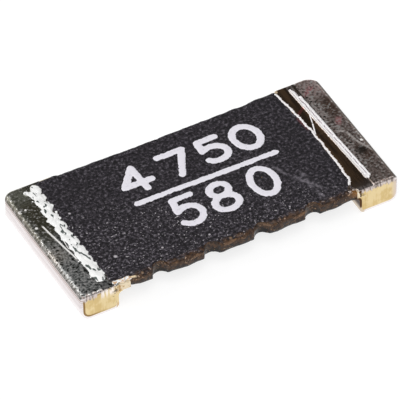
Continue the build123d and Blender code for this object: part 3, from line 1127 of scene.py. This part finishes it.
def ink_material(settings):
    """Flat pale ink, a little thin in places."""
    ink = Recipe("ink", settings.ink, 0.6, 0.0)
    grain = ink.noise(20.0, 3.0, 0.6)
    ink.use(Base_Color=ink.layers(settings.ink).over(grain.step(0.56, 0.74), (0.84, 0.83, 0.87)))
    ink.bump(grain, 0.004, 0.5)
    return ink.material


UPPER_PLACES = ((-0.94, 0.68), (-0.08, 0.64), (0.64, 0.60), (1.31, 0.62))
LOWER_PLACES = ((-0.48, 0.60), (0.22, 0.60), (1.03, 0.60))
BAR_LINES = (((-1.20, 0.115), (-0.14, 0.105)), ((-0.11, 0.10), (0.8, 0.09), (1.58, 0.085)))


def build_print(settings):
    """Two rows of plain digits with a bar between them, as a thin raised film."""
    pieces = row_of_digits(settings.upper_row, UPPER_PLACES, 0.32, 1.05, -0.06, settings.stroke)
    pieces += row_of_digits(settings.lower_row, LOWER_PLACES, -0.88, -0.05, 0.04, settings.stroke)
    for points in BAR_LINES:
        pieces += pen_line(points, settings.bar_stroke)
    film = join(pieces)
    skin_over(film, settings.voxel)
    roughen(film, 0.030, 0.05)
    sunk = 0.010
    depth = (sunk + settings.film) / (settings.stroke / 2)

    def flatten(point):
        """Presses the round strokes into a flat film that is sunk in the coating."""
        height = point.z / (settings.stroke / 2)
        flat = math.copysign(min(1.0, abs(height)) ** 0.5, height)
        return Vector((point.x, point.y, COAT_HIGH.z - sunk + flat * depth * settings.stroke / 2))

    move_points(film, flatten)
    finish_piece(film, "printed_digits", ink_material(settings), None, 60)


# Stage


def build_camera(settings):
    """The camera that took the picture, worked out from where the part lies in it."""
    a, e, turn = settings.azimuth, settings.elevation, settings.roll
    back = Vector((math.sin(a) * math.cos(e), -math.cos(a) * math.cos(e), math.sin(e)))
    level_right = Vector((math.cos(a), math.sin(a), 0))
    level_up = back.cross(level_right)
    right = math.cos(turn) * level_right + math.sin(turn) * level_up
    up = -math.sin(turn) * level_right + math.cos(turn) * level_up
    half = settings.picture / 2
    aside = (settings.centre_x - half) / settings.pixels_per_mm
    above = -(settings.centre_y - half) / settings.pixels_per_mm
    eye = back * settings.distance - right * aside - up * above
    bpy.ops.object.camera_add()
    camera = bpy.context.object
    camera.name = "camera"
    camera.matrix_world = Matrix.Translation(eye * MM) @ Matrix((right, up, back)).transposed().to_4x4()
    camera.data.sensor_width = 36.0
    widths = settings.pixels_per_mm * settings.distance / settings.picture
    camera.data.lens = camera.data.sensor_width * widths
    camera.data.clip_start = 0.001
    camera.data.clip_end = 10.0
    bpy.context.scene.camera = camera


def ray_kinds(tree, *names):
    """1 for a ray of any of these kinds."""
    path = add_node(tree, "ShaderNodeLightPath").outputs
    return functools.reduce(Field.__or__, (Field(tree, path["Is %s Ray" % name]) for name in names))


def build_floor():
    """A wide floor that keeps the part's soft shadow, white to the camera and in what metal mirrors."""
    clear_selection()
    bpy.ops.mesh.primitive_plane_add(size=4.0, location=(0, 0, -0.00001))
    floor = bpy.context.object
    floor.name = "floor"
    material = bpy.data.materials.new("floor_white")
    material.use_nodes = True
    tree = material.node_tree
    shader = tree.nodes["Principled BSDF"].inputs
    shader["Roughness"].default_value = 1.0
    shader["Specular IOR Level"].default_value = 0.0
    shader["Emission Color"].default_value = (1, 1, 1, 1)
    seen = ray_kinds(tree, "Camera", "Glossy", "Transmission")
    tree.links.new((0.75 - 0.45 * seen).socket, shader["Base Color"])
    tree.links.new((0.79 * seen).socket, shader["Emission Strength"])
    floor.data.materials.append(material)


def build_world(settings):
    """White at the horizon and a darker ceiling for shiny surfaces, a plain level for dull ones."""
    world = bpy.context.scene.world or bpy.data.worlds.new("room")
    bpy.context.scene.world = world
    world.use_nodes = True
    tree = world.node_tree
    tree.nodes.clear()
    direction = add_node(tree, "ShaderNodeTexCoord").outputs["Generated"]
    height = Field(tree, add_node(tree, "ShaderNodeSeparateXYZ", {"Vector": direction}).outputs["Z"])
    mirrored = height.step(0.12, 0.55, 1.0, settings.ceiling)
    light = (mirrored - settings.room) * ray_kinds(tree, "Glossy") + settings.room
    strength = (1 - light) * ray_kinds(tree, "Camera", "Transmission") + light
    background = add_node(tree, "ShaderNodeBackground", {"Strength": strength})
    add_node(tree, "ShaderNodeOutputWorld", {"Surface": background.outputs[0]})


def soft_box(name, direction, distance, size, radiance):
    """A square lamp that faces the part."""
    clear_selection()
    aim = Vector(direction).normalized()
    bpy.ops.object.light_add(type="AREA", location=aim * distance)
    lamp = bpy.context.object
    lamp.name = name
    lamp.rotation_euler = aim.to_track_quat("Z", "Y").to_euler()
    lamp.data.shape = "SQUARE"
    lamp.data.size = size
    lamp.data.energy = math.pi * size**2 * radiance
    lamp.visible_camera = False


def build_lamps():
    soft_box("overhead_lamp", (-0.10, -0.35, 1.0), 0.30, 0.24, 2.3)
    soft_box("left_lamp", (-0.62, 0.45, 0.62), 0.30, 0.16, 2.8)
    soft_box("front_lamp", (-0.60, -0.75, 0.55), 0.32, 0.20, 1.2)


class PieceOperator:
    """What the operators share."""

    bl_options = {"REGISTER", "UNDO"}


class RESISTOR_OT_stage(PieceOperator, bpy.types.Operator):
    """Make the camera, the floor, the room and the lamps"""

    bl_idname = "resistor.stage"
    bl_label = "Stage"

    def execute(self, context):
        settings = context.scene.resistor_stage
        build_camera(settings)
        build_floor()
        build_world(settings)
        build_lamps()
        return {"FINISHED"}


class RESISTOR_OT_bars(PieceOperator, bpy.types.Operator):
    """Make both terminal bars and the tin skin on each"""

    bl_idname = "resistor.bars"
    bl_label = "Terminal bars"

    def execute(self, context):
        for side in SIDES:
            build_bar(side, context.scene.resistor_bars)
        return {"FINISHED"}


class RESISTOR_OT_welds(PieceOperator, bpy.types.Operator):
    """Make the rippled left seam and the ridged right seam, and finish the strip"""

    bl_idname = "resistor.welds"
    bl_label = "Weld seams"

    def execute(self, context):
        settings = context.scene.resistor_welds
        build_left_weld(settings, context.scene.resistor_bars)
        build_right_weld(settings, context.scene.resistor_bars)
        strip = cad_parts["resistive_element"]
        strip.data.materials.clear()
        strip.data.materials.append(strip_material(settings))
        return {"FINISHED"}


class RESISTOR_OT_coating(PieceOperator, bpy.types.Operator):
    """Make the epoxy coating with its notches"""

    bl_idname = "resistor.coating"
    bl_label = "Coating"

    def execute(self, context):
        build_coating(context.scene.resistor_coating)
        return {"FINISHED"}


class RESISTOR_OT_print(PieceOperator, bpy.types.Operator):
    """Make the printed digits and the bar"""

    bl_idname = "resistor.print"
    bl_label = "Print"

    def execute(self, context):
        build_print(context.scene.resistor_print)
        return {"FINISHED"}


class RESISTOR_PT_panel(bpy.types.Panel):
    """Lists the pieces and what can be changed on them"""

    bl_label = "Current sense resistor"
    bl_idname = "RESISTOR_PT_panel"
    bl_space_type = "VIEW_3D"
    bl_region_type = "UI"
    bl_category = "Resistor"

    def draw(self, context):
        for group, _, operator in PARTS:
            box = self.layout.box()
            box.operator(operator)
            settings = getattr(context.scene, group)
            for key in settings.__annotations__:
                box.prop(settings, key)


PARTS = (
    ("resistor_stage", ResistorStageSettings, "resistor.stage"),
    ("resistor_bars", ResistorBarSettings, "resistor.bars"),
    ("resistor_welds", ResistorWeldSettings, "resistor.welds"),
    ("resistor_coating", ResistorCoatingSettings, "resistor.coating"),
    ("resistor_print", ResistorPrintSettings, "resistor.print"),
)
OPERATORS = (RESISTOR_OT_stage, RESISTOR_OT_bars, RESISTOR_OT_welds, RESISTOR_OT_coating, RESISTOR_OT_print)


def register():
    for group, settings, _ in PARTS:
        bpy.utils.register_class(settings)
        setattr(bpy.types.Scene, group, PointerProperty(type=settings))
    for operator in OPERATORS:
        bpy.utils.register_class(operator)
    bpy.utils.register_class(RESISTOR_PT_panel)


def unregister():
    bpy.utils.unregister_class(RESISTOR_PT_panel)
    for operator in reversed(OPERATORS):
        bpy.utils.unregister_class(operator)
    for group, settings, _ in reversed(PARTS):
        delattr(bpy.types.Scene, group)
        bpy.utils.unregister_class(settings)


def main():
    register()
    bpy.context.scene.view_settings.view_transform = "Standard"
    for operator in OPERATORS:
        family, name = operator.bl_idname.split(".")
        getattr(getattr(bpy.ops, family), name)()


if __name__ == "__main__":
    main()
